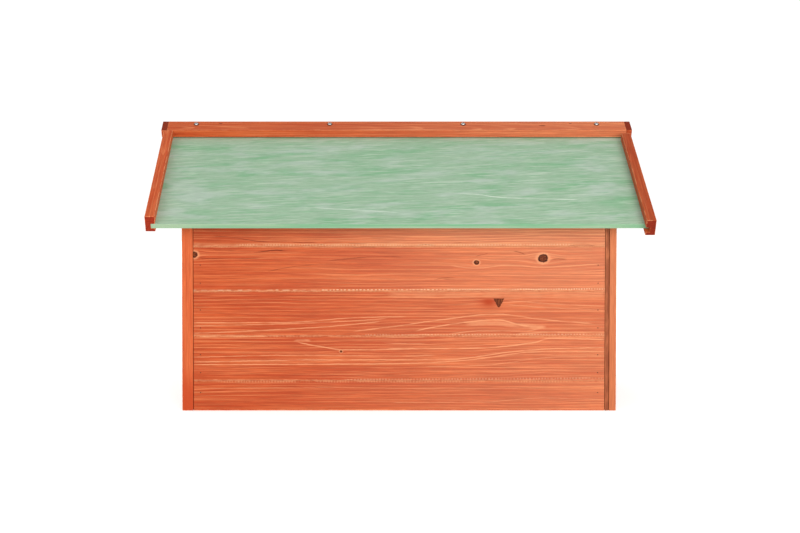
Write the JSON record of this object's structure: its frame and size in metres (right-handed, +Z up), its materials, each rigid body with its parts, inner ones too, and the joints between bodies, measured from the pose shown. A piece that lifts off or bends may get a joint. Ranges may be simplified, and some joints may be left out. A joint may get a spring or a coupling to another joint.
{
  "type": "rabbit hutch",
  "caption": "Low gable-roofed timber rabbit hutch with boarded walls, green roof boards, a nest room, a wire-fronted run and a pull-out tray.",
  "frame": {"origin": "on the ground under the middle of the hutch", "axes": "+Z up, -Y out of the doors at the front, +X along the ridge to the run's end"},
  "size_m": [1.035, 0.6866, 0.5934],
  "materials": {
    "fir_boards": "orange-red stained, planed",
    "fir_frame": "orange-red stained, planed",
    "green_roof_board": "thin matt green wash with streaks",
    "bright_steel": "zinc plated",
    "galvanised_steel": "galvanised"
  },
  "bodies": {
    "hutch": {"back_board_1": "fir_boards", "back_board_2": "fir_boards", "back_board_3": "fir_boards", "back_board_4": "fir_boards", "back_board_5": "fir_boards", "run_side_board_1": "fir_boards", "run_side_board_2": "fir_boards", "run_side_board_3": "fir_boards", "run_side_board_4": "fir_boards", "run_side_gable": "fir_boards", "nest_side_board_1": "fir_boards", "nest_side_board_2": "fir_boards", "nest_side_board_3": "fir_boards", "nest_side_board_4": "fir_boards", "nest_side_gable": "fir_boards", "post_back_run": "fir_frame", "post_back_nest": "fir_frame", "post_front_run": "fir_frame", "post_front_nest": "fir_frame", "front_sill": "fir_frame", "front_mid_rail": "fir_frame", "front_header": "fir_frame", "front_stile": "fir_frame", "floor_panel": "fir_boards", "tray_runner_run": "fir_frame", "tray_runner_nest": "fir_frame", "partition": "fir_boards", "back_rail_run": "fir_frame", "back_rail_nest": "fir_frame", "front_rail_run": "fir_frame", "front_rail_nest": "fir_frame", "ridge_batten": "fir_frame", "ridge_beam": "fir_frame", "roof_sheet_back": "green_roof_board", "roof_sheet_front": "green_roof_board", "ridge_screw_1": "bright_steel", "ridge_screw_2": "bright_steel", "ridge_screw_3": "bright_steel", "ridge_screw_4": "bright_steel", "nest_hinge_low_fixed": "bright_steel", "nest_hinge_high_fixed": "bright_steel", "run_hinge_low_fixed": "bright_steel", "run_hinge_high_fixed": "bright_steel"},
    "nest_door": {"nest_door_panel": "fir_boards", "nest_door_ledge_low": "fir_frame", "nest_door_ledge_high": "fir_frame", "nest_hinge_low_moving": "bright_steel", "nest_hinge_high_moving": "bright_steel"},
    "run_door": {"run_door_stile_hinge": "fir_frame", "run_door_stile_latch": "fir_frame", "run_door_rail_low": "fir_frame", "run_door_rail_high": "fir_frame", "run_door_mesh": "galvanised_steel", "run_hinge_low_moving": "bright_steel", "run_hinge_high_moving": "bright_steel"},
    "tray": {"tray_front": "fir_frame", "tray_pan": "galvanised_steel", "tray_handle": "bright_steel"},
    "nest_button": {"turn_button_nest": "fir_frame"},
    "run_button": {"turn_button_run": "fir_frame"}
  },
  "joints": [
    {"name": "nest_door_swing", "type": "hinge", "parent": "hutch", "child": "nest_door", "pos_m": [-0.4035, -0.2755, 0.229], "axis": [0, 0, -1], "range_deg": [0, 110]},
    {"name": "run_door_swing", "type": "hinge", "parent": "hutch", "child": "run_door", "pos_m": [0.4035, -0.2755, 0.229], "axis": [0, 0, 1], "range_deg": [0, 110]},
    {"name": "tray_pull", "type": "slide", "parent": "hutch", "child": "tray", "axis": [0, -1, 0], "range_m": [0, 0.42]},
    {"name": "nest_button_turn", "type": "hinge", "parent": "hutch", "child": "nest_button", "pos_m": [-0.129, -0.2715, 0.23151], "axis": [0, 1, 0], "range_deg": [0, 90]},
    {"name": "run_button_turn", "type": "hinge", "parent": "hutch", "child": "run_button", "pos_m": [-0.111, -0.2715, 0.23151], "axis": [0, -1, 0], "range_deg": [0, 90]}
  ]
}
